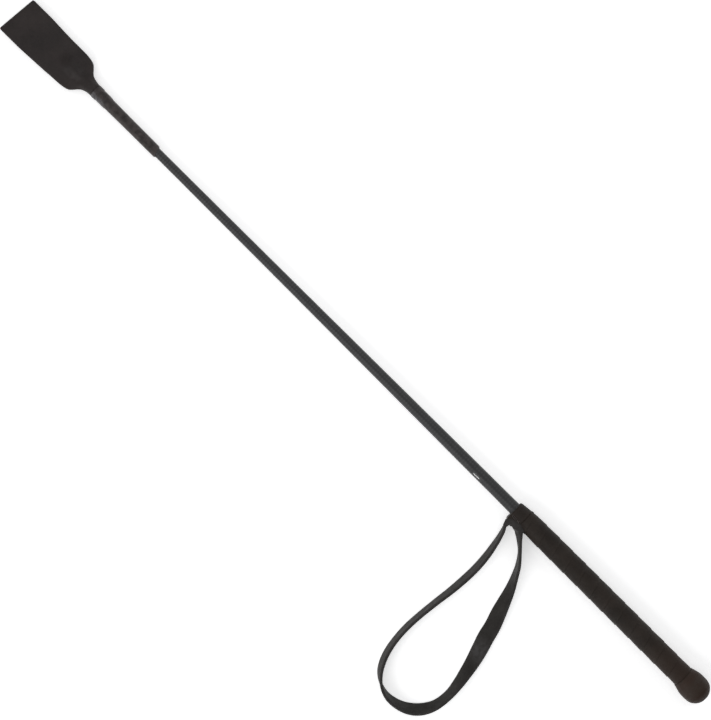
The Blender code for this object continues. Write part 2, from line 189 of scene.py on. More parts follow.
def piece_of(mesh, bm, sharp):
    """A smooth piece from a mesh being edited, with creases where faces meet at more than sharp degrees."""
    bmesh.ops.recalc_face_normals(bm, faces=bm.faces)
    bm.to_mesh(mesh)
    bm.free()
    add_rest(mesh)
    mesh.shade_smooth()
    mesh.set_sharp_from_angle(angle=math.radians(sharp))
    piece = bpy.data.objects.new(mesh.name, mesh)
    bpy.context.scene.collection.objects.link(piece)
    return piece


def add_floats(mesh, name, values):
    attribute = mesh.attributes.new(name, "FLOAT", "POINT")
    attribute.data.foreach_set("value", np.asarray(values, np.float32))


def add_rest(mesh):
    """Each point's own place, which a bend doesn't move, for the materials' grain."""
    places = np.empty(len(mesh.vertices) * 3, np.float32)
    mesh.vertices.foreach_get("co", places)
    attribute = mesh.attributes.new("rest", "FLOAT_VECTOR", "POINT")
    attribute.data.foreach_set("vector", places)


def ripple(x, y, z, size, seed=0.0):
    """Smooth noise from -1 to 1 with features about size millimetres across."""
    return noise.noise(Vector((x / size + seed, y / size - seed, z / size + 2 * seed)))


def turned_rows(profile, sides):
    """Rings of a turned shape from (station, radius) points, in the shaft's frame."""
    angles = 2 * math.pi * np.arange(sides) / sides
    return [[shaft_point(station, radius, angle) for angle in angles] for station, radius in profile]


# Materials


class Shader:
    """A material's node tree, with short calls for the nodes that the materials share."""

    def __init__(self, name, coords="rest"):
        self.material = bpy.data.materials.new(name)
        self.material.use_nodes = True
        self.tree = self.material.node_tree
        self.bsdf = self.tree.nodes["Principled BSDF"]
        if coords == "rest":
            self.place = self.attribute("rest", "Vector")
        else:
            self.place = self.node("ShaderNodeTexCoord").outputs["Object"]

    def node(self, kind, **values):
        made = self.tree.nodes.new(kind)
        for key, value in values.items():
            setattr(made, key, value)
        return made

    def link(self, source, target):
        if isinstance(source, (int, float)):
            target.default_value = source
        elif isinstance(source, tuple):
            target.default_value = (*source, 1.0) if len(target.default_value) == 4 else source
        else:
            self.tree.links.new(source, target)

    def attribute(self, name, output="Fac"):
        return self.node("ShaderNodeAttribute", attribute_name=name).outputs[output]

    def scaled(self, factors):
        made = self.node("ShaderNodeVectorMath", operation="MULTIPLY")
        self.link(self.place, made.inputs[0])
        made.inputs[1].default_value = factors
        return made.outputs[0]

    def noise(self, per_metre, detail=3.0, roughness=0.5, vector=None):
        made = self.node("ShaderNodeTexNoise")
        self.link(vector or self.place, made.inputs["Vector"])
        made.inputs["Scale"].default_value = per_metre
        made.inputs["Detail"].default_value = detail
        made.inputs["Roughness"].default_value = roughness
        return made.outputs["Fac"]

    def cells(self, per_metre, feature="F1"):
        made = self.node("ShaderNodeTexVoronoi", feature=feature)
        self.link(self.place, made.inputs["Vector"])
        made.inputs["Scale"].default_value = per_metre
        return made.outputs["Distance"]

    def math(self, operation, a, b=0.0, clamp=False):
        made = self.node("ShaderNodeMath", operation=operation, use_clamp=clamp)
        self.link(a, made.inputs[0])
        self.link(b, made.inputs[1])
        return made.outputs[0]

    def remap(self, value, low, high, to_low, to_high):
        made = self.node("ShaderNodeMapRange")
        for key, number in zip(("Value", "From Min", "From Max", "To Min", "To Max"),
                               (value, low, high, to_low, to_high)):
            self.link(number, made.inputs[key])
        return made.outputs[0]

    def spread(self, value):
        """Noise, which keeps near its middle, spread from 0 to 1."""
        return self.remap(value, 0.35, 0.65, 0.0, 1.0)

    def mix(self, factor, a, b):
        made = self.node("ShaderNodeMix", data_type="RGBA")
        self.link(factor, made.inputs[0])
        self.link(a, made.inputs[6])
        self.link(b, made.inputs[7])
        return made.outputs[2]

    def bump(self, height, distance, strength=1.0, normal=None):
        made = self.node("ShaderNodeBump")
        made.inputs["Strength"].default_value = strength
        made.inputs["Distance"].default_value = distance
        self.link(height, made.inputs["Height"])
        if normal is not None:
            self.link(normal, made.inputs["Normal"])
        return made.outputs[0]

    def finish(self, color, roughness, normal=None, **constants):
        self.link(color, self.bsdf.inputs["Base Color"])
        self.link(roughness, self.bsdf.inputs["Roughness"])
        if normal is not None:
            self.link(normal, self.bsdf.inputs["Normal"])
        for key, value in constants.items():
            self.bsdf.inputs[key.replace("_", " ")].default_value = value
        return self.material


WARM_BROWN = (0.040, 0.018, 0.010)


def leather(name, dark, light, worn_and_sheen_tone, rough, grain=1500, depth=0.05, specular=0.4):
    """Finished leather: mottled colour, a pebbled grain with pores, and paler, smoother edges where it is
    rubbed. Where a piece marks painted highlights, as the wrist strap does, the same paler colour is painted
    on as a highlight.
    """
    s = Shader(name)
    wide = s.noise(70, 4)
    fine = s.noise(900, 3)
    mottle = s.math("ADD", s.math("MULTIPLY", wide, 0.7), s.math("MULTIPLY", fine, 0.3))
    tone = s.mix(s.spread(mottle), dark, light)
    warm = s.mix(0.5, light, WARM_BROWN)
    tone = s.mix(s.math("MULTIPLY", s.attribute("tint"), 0.85), tone, warm)
    patches = s.remap(s.noise(380, 3), 0.35, 0.6, 0.35, 1.0)
    # Rubbed places turn paler and smoother; where a piece marks painted highlights, as the strap does, this
    # paler colour is a painted highlight.
    rubbed = s.math("MULTIPLY", s.attribute("wear_tone_and_painted_light"), patches, clamp=True)
    color = s.mix(rubbed, tone, worn_and_sheen_tone)
    creases = s.remap(s.cells(grain, "DISTANCE_TO_EDGE"), 0.0, 0.22, 0.0, 1.0)
    pores = s.remap(s.cells(grain * 1.9), 0.0, 0.35, 0.0, 1.0)
    height = s.math("ADD", s.math("MULTIPLY", creases, 0.65), s.math("MULTIPLY", pores, 0.35))
    normal = s.bump(height, depth * MM, 0.8, s.bump(s.noise(260, 4), 4 * depth * MM, 0.5))
    roughness = s.math("SUBTRACT", s.remap(s.noise(240, 3), 0.3, 0.7, rough - 0.06, rough + 0.07),
                       s.math("MULTIPLY", rubbed, 0.08))
    return s.finish(color, roughness, normal, Specular_IOR_Level=specular)


# A pale bluish grey painted on the thread as its highlight: painted sheen.
PAINTED_SHEEN_COLOR = (0.200, 0.198, 0.212)


def thread_material(name, dark, light, rough):
    """Waxed twisted thread: plies wind round each strand. Where its mask is 1 the thread is smoother and its
    colour turns to a pale bluish grey, a painted sheen.
    """
    s = Shader(name)
    tone = s.mix(s.spread(s.noise(300, 3)), dark, light)
    patches = s.remap(s.noise(150, 2), 0.35, 0.6, 0.2, 1.0)
    polish_and_painted_sheen = s.math("MULTIPLY", s.attribute("wear_tone_and_painted_light"), patches, clamp=True)
    # Painted sheen: the colour goes towards the pale sheen colour where the mask is set.
    tone = s.mix(s.math("MULTIPLY", polish_and_painted_sheen, 0.95), tone, PAINTED_SHEEN_COLOR)
    split = s.node("ShaderNodeSeparateXYZ")
    s.link(s.attribute("lay", "Vector"), split.inputs[0])
    twist = s.math("MULTIPLY", split.outputs[0], 5.0)
    turn = s.math("ADD", twist, s.math("MULTIPLY", split.outputs[1], 4 * math.pi))
    plies = s.math("SINE", turn)
    shade = s.mix(s.remap(plies, -1.0, 1.0, 0.0, 0.45), tone, dark)
    normal = s.bump(plies, 0.03 * MM, 0.6)
    roughness = s.math("SUBTRACT", s.remap(s.noise(600, 3), 0.3, 0.7, rough - 0.1, rough + 0.1),
                       s.math("MULTIPLY", polish_and_painted_sheen, 0.27))
    return s.finish(shade, roughness, normal, Specular_IOR_Level=0.45)


# A place where the lacquer is rubbed flat: its station, and its y and z from the shaft's axis, in
# millimetres, with its reach each way, and half the flat's width as an angle round the shaft.
POLISHED = (444.3, -2.73, 3.25)
POLISHED_REACH = (4.3, 1.6, 1.6)
FLAT_HALF = math.radians(6.7)


def braid_material(name):
    """Dark braid under clear lacquer: strands differ a little in tone, and the hollows between them are
    painted darker, painted shade.
    """
    s = Shader(name)
    strand = s.attribute("wear_tone_and_painted_light")
    # The tone is lighter on the strands' crowns and darker in the hollows between them, painted shade.
    tone = s.mix(strand, (0.0055, 0.006, 0.0065), (0.0530, 0.0510, 0.0545))
    specks = s.remap(s.noise(700, 4, 0.6), 0.38, 0.62, 0.0, 1.0)
    color = s.mix(s.math("MULTIPLY", specks, 0.5), tone, (0.015, 0.0155, 0.016))
    away = s.node("ShaderNodeVectorMath", operation="SUBTRACT")
    s.link(s.place, away.inputs[0])
    away.inputs[1].default_value = SHAFT @ (Vector((along(POLISHED[0]) / MM, POLISHED[1], POLISHED[2])) * MM)
    shape = s.node("ShaderNodeVectorMath", operation="MULTIPLY")
    s.link(away.outputs[0], shape.inputs[0])
    shape.inputs[1].default_value = [1 / (reach * MM) for reach in POLISHED_REACH]
    reach = s.node("ShaderNodeVectorMath", operation="LENGTH")
    s.link(shape.outputs[0], reach.inputs[0])
    dull = s.remap(s.noise(150, 3), 0.3, 0.7, 0.42, 0.55)
    polished = s.remap(reach.outputs["Value"], 0.6, 1.0, 0.78, 0.0)
    left = s.math("SUBTRACT", 1.0, polished, clamp=True)
    roughness = s.math("MULTIPLY", dull, left)
    normal = s.bump(s.math("MULTIPLY", s.noise(1800, 3), left), 0.02 * MM, 0.5)
    return s.finish(color, roughness, normal, Coat_Weight=0.18, Coat_Roughness=0.28, Specular_IOR_Level=0.36)


def rubber_material():
    s = Shader("black_rubber", "object")
    color = s.mix(s.noise(200, 3), (0.012, 0.012, 0.012), (0.03, 0.03, 0.03))
    normal = s.bump(s.noise(2500, 2), 0.05 * MM, 0.5)
    return s.finish(color, s.remap(s.noise(500, 2), 0.3, 0.7, 0.65, 0.85), normal)


def fibreglass_material():
    """Pale resin with long glass fibres that run along the rod."""
    s = Shader("fibreglass", "object")
    fibres = s.noise(900, 4, 0.6, s.scaled((0.02, 1.0, 1.0)))
    color = s.mix(s.spread(fibres), (0.33, 0.31, 0.22), (0.62, 0.60, 0.48))
    return s.finish(color, s.remap(fibres, 0.3, 0.7, 0.3, 0.5), s.bump(fibres, 0.04 * MM, 0.6))


def wood_material():
    """Turned beech: fine growth rings stretched along the grain, with short dark flecks."""
    s = Shader("core_wood", "object")
    rings = s.noise(420, 5, 0.6, s.scaled((0.08, 1.0, 1.0)))
    flecks = s.remap(s.noise(1600, 2, 0.5, s.scaled((0.15, 1.0, 1.0))), 0.6, 0.7, 0.0, 0.6)
    color = s.mix(s.spread(rings), (0.30, 0.17, 0.08), (0.52, 0.34, 0.18))
    color = s.mix(flecks, color, (0.16, 0.08, 0.03))
    return s.finish(color, 0.55, s.bump(rings, 0.05 * MM, 0.5))


KEEPER_LEATHER = leather("keeper_leather", (0.0145, 0.0105, 0.0098), (0.0258, 0.0190, 0.0176),
                         (0.037, 0.029, 0.027), 0.52, specular=0.30)
GRIP_LEATHER = leather("grip_leather", (0.0147, 0.0109, 0.0084), (0.0278, 0.0207, 0.0164),
                       (0.038, 0.030, 0.024), 0.60, grain=1300, depth=0.06, specular=0.18)
STRAP_LEATHER = leather("strap_leather", (0.0210, 0.0193, 0.0177), (0.0375, 0.0345, 0.0320),
                        (0.058, 0.055, 0.055), 0.60, grain=1700, depth=0.04, specular=0.10)
THREAD = thread_material("whipping_thread", (0.0300, 0.0240, 0.0222), (0.0860, 0.0715, 0.0680), 0.40)
BRAID = braid_material("lacquered_braid")


# Camera, light and floor

VIEW_TURN = math.radians(44.91)
VIEW_CENTER = (0.0009, -0.0048)
VIEW_HEIGHT = 0.4887
LENS = 100.0
SENSOR = 36.0


def make_camera():
    camera = bpy.data.cameras.new("camera")
    camera.lens = LENS
    camera.sensor_width = SENSOR
    seat = bpy.data.objects.new("camera", camera)
    distance = VIEW_HEIGHT * LENS / SENSOR
    seat.location = (*VIEW_CENTER, distance + SHAFT.translation.z)
    seat.rotation_euler = (0.0, 0.0, VIEW_TURN)
    bpy.context.scene.collection.objects.link(seat)
    bpy.context.scene.camera = seat


# Name, width and height in metres, watts, azimuth (0 is -Y, 90 is +X) and elevation in degrees, distance from
# the place it aims at, and that place. The glint lights only the place that's rubbed flat.
CROP_MIDDLE = (0.0, -0.03, 0.0)
LIGHTS = [
    ("key", (1.4, 0.9), 9.2, 0, 40, 1.4, CROP_MIDDLE),
    ("fill", (1.4, 0.9), 5.6, 180, 40, 1.4, CROP_MIDDLE),
    ("side", (0.9, 0.9), 1.4, -90, 42, 1.4, CROP_MIDDLE),
    ("overhead", (1.2, 1.2), 3.6, 0, 90, 1.4, CROP_MIDDLE),
    ("glint", (0.05, 0.05), 0.22, 4.9, 10, 0.8, (0.114, 0.0, 0.01)),
]
WORLD_STRENGTH = 0.20
FLOOR_GLOW = 0.45


def area_light(name, size, power, azimuth, elevation, distance, aim):
    lamp = bpy.data.lights.new(name, "AREA")
    lamp.shape = "RECTANGLE"
    lamp.size, lamp.size_y = size
    lamp.energy = power
    seat = bpy.data.objects.new(name, lamp)
    a, e = math.radians(azimuth), math.radians(elevation)
    toward = Vector((math.sin(a) * math.cos(e), -math.cos(a) * math.cos(e), math.sin(e)))
    seat.location = Vector(aim) + toward * distance
    seat.rotation_euler = toward.to_track_quat("Z", "Y").to_euler()
    bpy.context.scene.collection.objects.link(seat)


def make_studio():
    bpy.context.scene.view_settings.view_transform = "Standard"
    world = bpy.data.worlds.new("studio")
    bpy.context.scene.world = world
    world.use_nodes = True
    background = world.node_tree.nodes["Background"]
    background.inputs["Color"].default_value = (0.97, 0.98, 1.0, 1.0)
    background.inputs["Strength"].default_value = WORLD_STRENGTH
    for light in LIGHTS:
        area_light(*light)
    floor_mesh = bpy.data.meshes.new("floor")
    half = 3.0
    corners = [(-half, -half, 0), (half, -half, 0), (half, half, 0), (-half, half, 0)]
    floor_mesh.from_pydata(corners, [], [(0, 1, 2, 3)])
    floor = bpy.data.objects.new("floor", floor_mesh)
    floor.location.z = -0.0002
    bpy.context.scene.collection.objects.link(floor)
    s = Shader("floor", "object")
    tone = s.mix(s.noise(3, 2), (0.95, 0.95, 0.95), (0.97, 0.97, 0.97))
    white = (1.0, 1.0, 1.0, 1.0)
    floor_mesh.materials.append(s.finish(tone, 0.9, Emission_Color=white, Emission_Strength=FLOOR_GLOW))


# Keeper

FLAP_HINGE = station_of(Vector(JOINTS["keeper_flex"]["pos_m"]).x)
PLY = 1.7
PLY_GAP = 0.4
STRETCH = 0.25
TIP_SKEW = 2.7
NECK_END = 76.4
ROLL_START, ROLL_END = 63.0, 74.0
KEEPER_HALF_WIDTH = eased([
    (0, 15.1), (17, 15.1), (30, 14.6), (38, 14.3), (50, 13.9), (55, 13.75), (58, 13.4), (60.5, 12.95),
    (62.5, 12.2), (64, 11.1), (65.5, 9.6), (67, 8.0), (68.5, 6.75), (70.5, 5.8), (73, 5.05), (75.6, 4.8),
    (96, 4.8),
])
KEEPER_DRIFT = eased([
    (0, -1.0), (16, -0.95), (40, -0.8), (48, -0.5), (60, -0.3), (69, -0.35), (73, 0.0), (96, 0.0),
])
KEEPER_BORE = eased([(40, 2.9), (58.5, 2.9), (61, 2.2), (96, 2.3)])
NECK_RADIUS = eased([(50, 4.75), (76.3, 4.75), (76.55, 3.5), (96, 3.1)])


def ply_point(station, v, n):
    """Where the upper ply's leather is: v from -1 to 1 across, n from 0 inside to 1 outside. It is flat, with
    a ridge over the rod's tip, and rolls into a half shell at the neck."""
    half_width = KEEPER_HALF_WIDTH(station)
    bore = KEEPER_BORE(station)
    rise = smooth_step(FLAP_HINGE - 6, FLAP_HINGE + 5, station)
    rolled = smooth_step(ROLL_START, ROLL_END, station)
    drift = KEEPER_DRIFT(station) * (1 - rolled)
    y = v * half_width
    bell = rise * (0.5 + 0.5 * math.cos(math.pi * min(abs(y + drift) / (2.4 * bore), 1.0)))
    low = PLY_GAP / 2 + (bore - PLY_GAP / 2) * bell
    angle = v * math.radians(88)
    radius = bore + n * (NECK_RADIUS(station) - bore)
    flat = Vector((y, low + n * (PLY - STRETCH * bell)))
    point = flat.lerp(Vector((math.sin(angle), math.cos(angle))) * radius, rolled)
    edge = (1 - rolled) * half_width + rolled * NECK_RADIUS(station)
    if station < NECK_END:
        point.x *= half_width / edge
    gather = smooth_step(57, 66, station) * (1 - smooth_step(72, 76, station))
    point.y += n * gather * 0.14 * math.sin(8.5 * v + 0.5 + 0.08 * station)
    point.y += n * 0.07 * ripple(station, y, 0, 9, 3.1)
    return point.x + drift, max(point.y, 0.12)


def keeper_section(segments, edge):
    """(v, n) round one section of the leather strip, with slightly rounded cut edges."""
    across = np.linspace(-1 + edge, 1 - edge, segments)
    turns = [math.radians(a) for a in (60, 30, 0, -30, -60)]
    arc = [(1 - edge + edge * math.cos(t), 0.5 + 0.5 * math.sin(t)) for t in turns]
    top = [(v, 1.0) for v in across]
    bottom = [(-v, 0.0) for v in across]
    return top + arc + bottom + [(-v, 1 - n) for v, n in arc]


def make_keeper():
    """The keeper as one folded strip: the upper ply, round the fold at the tip, and back as the lower ply."""
    tip_center = PLY + PLY_GAP / 2
    stations = list(np.concatenate([
        np.arange(90, 77, -1.5), [76.7, 76.6, 76.5, 76.4, 76.3, 76.1, 75.9], np.arange(75.6, 56, -0.4),
        np.arange(56, 42, -0.7), np.arange(42, tip_center, -1.6),
    ]))
    rows, wear_tone_and_painted_light = [], []

    def add(station, fold, side):
        ring, rubbed = [], []
        half_width = KEEPER_HALF_WIDTH(station)
        for v, n in keeper_section(44, 0.55 / half_width):
            if fold is None:
                y, z = ply_point(station, v, n)
                place = station
                z *= side
            else:
                radius = PLY_GAP / 2 + n * PLY
                rounding = 1 - 0.035 * math.sin(fold) ** 6
                y = v * KEEPER_HALF_WIDTH(tip_center) * rounding
                place = tip_center - radius * math.sin(fold)
                z = radius * math.cos(fold)
                y += KEEPER_DRIFT(tip_center)
            near_tip = max(FLAP_HINGE - place, 0.0) / FLAP_HINGE
            half_tip = KEEPER_HALF_WIDTH(0)
            place += TIP_SKEW * near_tip * (y - KEEPER_DRIFT(place) + half_tip) / (2 * half_tip)
            ring.append((along(place) / MM, y, z))
            edge_wear = smooth_step(0.95, 1.0, abs(v))
            fold_wear = n * (1 - smooth_step(0.0, 2.2, place)) if fold is not None else 0.0
            rubbed.append(min(0.8 * edge_wear + 0.6 * fold_wear, 1.0))
        rows.append(ring)
        wear_tone_and_painted_light.append(rubbed)

    for station in stations:
        add(station, None, 1)
    for fold in np.linspace(0, math.pi, 13):
        add(tip_center, fold, 0)
    for station in reversed(stations):
        add(station, None, -1)
    keeper = skin("keeper_leather", rows, wear_tone_and_painted_light=wear_tone_and_painted_light)
    keeper.data.materials.append(KEEPER_LEATHER)
    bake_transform(keeper)
    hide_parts("keeper_flap", "keeper_base_upper", "keeper_base_lower")


# Whipping

THREAD_RADIUS = 0.31
THREAD_PITCH = 0.60
WHIPPING_SPAN = (76.4, 136.0)
# Its last turns lie at a slant, from this station on.
WHIPPING_SLANT = -0.32
SLANT_START = 118.4
# How far the first turn's middle is from the neck, and the last one's from the end.
FIRST_TURN, LAST_TURN = 0.14, 0.32
# The second and third layers end at these stations.
SECOND_LAYER_END, THIRD_LAYER_END = 89.4, 81.0
# A painted sheen on the thread's -Y side, where the key light falls, up to the first of these stations,
# fading out by the second. The thread is also smoother there.
PAINTED_SHEEN_SPAN = (80, 94)


def thread_coil(name, first, last, radius_at, phase):
    """One layer of thread wound round the shaft between two stations, dipping under at its last turn."""
    segments, sides = 36, 8
    turns = (last - first) / THREAD_PITCH
    steps = int(turns * segments)
    rows, lay, wear_tone_and_painted_light = [], [], []
    for k in range(steps + 1):
        share = k / steps
        angle = 2 * math.pi * turns * share + phase
        station = first + (last - first) * share
        sunk = 0.35 * (1 - smooth_step(0, segments, steps - k))
        wander = 0.035 * ripple(station * 3, math.cos(angle), math.sin(angle), 1.4, 7.7)
        radius = radius_at(station) - THREAD_RADIUS - sunk + wander
        slanted = smooth_step(SLANT_START, WHIPPING_SPAN[1], station)
        slant = WHIPPING_SLANT * slanted * radius * math.cos(angle)
        center = Vector(shaft_point(station, radius, angle)) + Vector((wander + slant, 0, 0))
        outward = Vector((0, math.cos(angle), math.sin(angle))) * THREAD_RADIUS
        forward = Vector((THREAD_RADIUS, 0, 0))
        length = 2 * math.pi * turns * share * radius
        ring, marks = [], []
        for j in range(sides):
            t = 2 * math.pi * j / sides
            ring.append(center + outward * math.cos(t) + forward * math.sin(t))
            marks.append((length, j / sides, 0.0))
        rows.append(ring)
        lay.append(marks)
        # Painted sheen on the -Y side near the neck, where the key light falls.
        painted_sheen = (1 - smooth_step(*PAINTED_SHEEN_SPAN, station)) * smooth_step(-0.1, 0.75, -math.cos(angle))
        wear_tone_and_painted_light.append([painted_sheen] * sides)
    coil = skin(name, rows, wear_tone_and_painted_light=wear_tone_and_painted_light, lay=lay)
    coil.data.materials.append(THREAD)
    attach(coil, "crop")
    return coil


def make_whipping():
    """Thread over the keeper's tails: one layer throughout, a second near the neck, a third at its start."""
    first, last = WHIPPING_SPAN[0] + FIRST_TURN, WHIPPING_SPAN[1] - LAST_TURN
    base = eased([(first, 4.22), (90, 4.22), (98, 4.17), (106, 4.09), (118, 4.03), (last, 3.98)])
    coil = thread_coil("whipping_layer_1", first, last, base, 0.4)
    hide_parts("keeper_whipping")
    second = eased([(first, 4.62), (84, 4.62), (SECOND_LAYER_END, 4.58)])
    thread_coil("whipping_layer_2", first, SECOND_LAYER_END, second, 2.1)
    third = eased([(first, 4.93), (THIRD_LAYER_END, 4.93)])
    thread_coil("whipping_layer_3", first, THIRD_LAYER_END, third, 4.0)


# Shaft

BRAID_STRANDS = 12
BRAID_CELL = 1.05
BRAID_RELIEF = 0.11
BRAID_ROW = 0.27
COVER_THICKNESS = 0.6


def braid_height(u, v):
    """The plain braid's relief from 0 to 1, and which family of strands is on top."""
    cell_u, cell_v = math.floor(u), math.floor(v)
    in_u, in_v = u - cell_u - 0.5, v - cell_v - 0.5
    over = (cell_u + cell_v) % 2 == 0
    across, along_strand = (in_u, in_v) if over else (in_v, in_u)
    crown = math.sqrt(max(1 - (1.9 * across) ** 2, 0.0))
    return crown * (0.55 + 0.45 * math.cos(math.pi * along_strand)), 1.0 if over else 0.0


def make_braid():
    """The lacquered braid that covers the rod. Its relief shows on the bare stretch of the shaft."""
    cad = outline_of("shaft_cover")
    bare_start = WHIPPING_SPAN[1] - 3
    bare_end = station_of(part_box("loop_collar")[1].x) + 2
    cover_end = station_of(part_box("shaft_cover")[1].x)
    cover_start = station_of(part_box("shaft_cover")[0].x)
    sides = 108
    count = int((bare_end - bare_start) / BRAID_ROW)
    fine = np.linspace(bare_start, bare_end, count)
    stations = np.concatenate([[cover_start, 126], fine, np.linspace(bare_end + 4, cover_end, 12)])
    rows, strand = [], []
    angles = 2 * math.pi * np.arange(sides) / sides
    for station in stations:
        radius = cad(station)
        ring, tones_and_painted_shade = [], []
        fade = smooth_step(bare_start - 1, bare_start + 0.5, station)
        fade *= 1 - smooth_step(bare_end - 1, bare_end, station)
        bright = 1.0 - 0.63 * (station - bare_start) / (bare_end - bare_start)
        for angle in angles:
            turn = BRAID_STRANDS * angle / (2 * math.pi)
            rise = station / (2 * BRAID_CELL)
            height, over = braid_height(turn + rise, turn - rise)
            y, z = radius * math.cos(angle), radius * math.sin(angle)
            off = Vector([(a - b) / c for a, b, c in zip((station, y, z), POLISHED, POLISHED_REACH)]).length
            height = max(height, 1 - smooth_step(0.8, 1.3, off))
            r = radius + 0.03 - BRAID_RELIEF * (1 - height) * fade + 0.03 * ripple(station, y, z, 14, 1.7)
            turned = math.remainder(angle - math.atan2(POLISHED[2], POLISHED[1]), 2 * math.pi)
            if abs(turned) < FLAT_HALF and abs(station - POLISHED[0]) < POLISHED_REACH[0]:
                r *= math.cos(FLAT_HALF) / math.cos(turned)
            ring.append(shaft_point(station, r, angle))
            # Tone per point: one family of strands lighter, lighter towards the keeper, and darker in the
            # relief's hollows, painted shade.
            tones_and_painted_shade.append(fade * height * (0.25 + 0.75 * over) * bright)
        rows.append(ring)
        strand.append(tones_and_painted_shade)
    inner = [(station, cad(station) - COVER_THICKNESS) for station in (cover_end, cover_start)]
    rows += turned_rows(inner, sides)
    strand += [[0.0] * sides] * 2
    cover = skin("shaft_braid", rows, ends="loop", wear_tone_and_painted_light=strand)
    cover.data.materials.append(BRAID)
    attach(cover, "crop")
    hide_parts("shaft_cover")


# Grip

LAP_PITCH = 12.4
LAP_STEP = 0.34
# Where the first lap edge starts, as a share of a turn before the grip's front end.
LAP_PHASE = 0.877
# Share of a turn from one lap edge to the next, and the surface's height there from 0 to 1. The last four
# points turn down over the edge.
LAP_FACE = [
    (0.012, 0.0), (0.05, 0.10), (0.12, 0.22), (0.22, 0.34), (0.34, 0.46), (0.46, 0.57), (0.58, 0.67),
    (0.70, 0.77), (0.80, 0.86), (0.88, 0.93), (0.94, 0.98), (0.975, 1.0),
]
LAP_PROFILE = LAP_FACE + [(0.992, 0.93), (1.0, 0.72), (1.0, 0.40), (0.997, 0.15)]
GRIP_BORE = 5.2
GRIP_SIDES = 72
# The strip runs on this far, up to the pommel's lip.
GRIP_REACH = 0.25
# It gets redder between these stations.
TINTED = (590, 642)


def grip_rows():
    """Rows of points that climb the handle, a turn's width each time round, and how rubbed each point is."""
    cad = outline_of("grip_wrap")
    first = station_of(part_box("grip_wrap")[0].x)
    last = station_of(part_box("grip_wrap")[1].x) + GRIP_REACH
    turns = int((last - first) / LAP_PITCH) + 2
    start = first - LAP_PHASE * LAP_PITCH
    rows, wear_tone_and_painted_light = [], []

    def surface(station, height, angle):
        swell = 0.05 * ripple(station, 6 * math.cos(angle), 6 * math.sin(angle), 8, 5.3)
        edge_pull = 0.06 * ripple(station * 2.4, 9 * math.cos(angle), 9 * math.sin(angle), 5, 2.3) * height
        end = smooth_step(0, 0.3, station - first) * smooth_step(0, 0.5, last - station)
        radius = cad(station) - 0.08 + LAP_STEP * (height - 0.5) + swell + edge_pull
        return radius - 0.2 * (1 - end)

    for turn in range(-1, turns + 1):
        for share, height in LAP_PROFILE:
            ring, rubbed = [], []
            for k in range(GRIP_SIDES):
                angle = 2 * math.pi * k / GRIP_SIDES
                station = start + LAP_PITCH * (turn + share + k / GRIP_SIDES)
                inside = min(max(station, first), last)
                if inside == station:
                    h = height
                else:
                    place = ((inside - start) / LAP_PITCH - k / GRIP_SIDES) % 1.0
                    h = float(np.interp(place, *zip(*LAP_FACE)))
                ring.append(shaft_point(inside, surface(inside, h, angle), angle))
                rubbed.append(0.25 * smooth_step(0.86, 1.0, h) if inside == station else 0.0)
            rows.append(ring)
            wear_tone_and_painted_light.append(rubbed)
    return rows, wear_tone_and_painted_light


def helical_skin(name, rows, wear_tone_and_painted_light, per_turn, inner):
    """Joins rows that climb one turn each time round: the end of a row meets the row per_turn later. Its
    rims then turn in to the inner radius and meet there."""
    rows = np.asarray(rows, float)
    count, around, _ = rows.shape
    index = np.arange(count * around).reshape(count, around)
    faces = []
    for i in range(count - 1):
        for k in range(around - 1):
            faces.append((index[i, k], index[i, k + 1], index[i + 1, k + 1], index[i + 1, k]))
        later = i + per_turn
        if later + 1 < count:
            faces.append((index[i, -1], index[later, 0], index[later + 1, 0], index[i + 1, -1]))
    mesh = bpy.data.meshes.new(name)
    mesh.from_pydata((rows.reshape(-1, 3) * MM).tolist(), [], faces)
    mesh.transform(SHAFT)
    add_floats(mesh, "wear_tone_and_painted_light", np.asarray(wear_tone_and_painted_light).reshape(-1))
    bm = bmesh.new()
    bm.from_mesh(mesh)
    bmesh.ops.remove_doubles(bm, verts=bm.verts, dist=2e-6)
    bmesh.ops.dissolve_degenerate(bm, dist=1e-7, edges=bm.edges)
    rims = [e for e in bm.edges if len(e.link_faces) == 1]
    closed = bmesh.ops.extrude_edge_only(bm, edges=rims)
    to_shaft = SHAFT.inverted()
    for vert in (g for g in closed["geom"] if isinstance(g, bmesh.types.BMVert)):
        local = to_shaft @ vert.co
        radial = Vector((0, local.y, local.z)).normalized() * (inner * MM)
        vert.co = SHAFT @ Vector((local.x, radial.y, radial.z))
    bmesh.ops.remove_doubles(bm, verts=bm.verts, dist=1e-7)
    rims = [e for e in bm.edges if len(e.link_faces) == 1]
    bmesh.ops.bridge_loops(bm, edges=rims)
    return piece_of(mesh, bm, 70)


def make_grip():
    """A leather strip wound round the handle. Each turn's edge nearer the pommel laps over the next turn."""
    rows, wear_tone_and_painted_light = grip_rows()
    grip = helical_skin("grip_strip", rows, wear_tone_and_painted_light, len(LAP_PROFILE), GRIP_BORE)
    to_shaft = SHAFT.inverted()
    stations = [station_of((to_shaft @ v.co).x) for v in grip.data.vertices]
    add_floats(grip.data, "tint", [0.7 * smooth_step(*TINTED, station) for station in stations])
    grip.data.materials.append(GRIP_LEATHER)
    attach(grip, "crop")
    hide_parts("grip_wrap")


# Pommel

GATHERS = 18
GATHER_DEPTH = 0.16


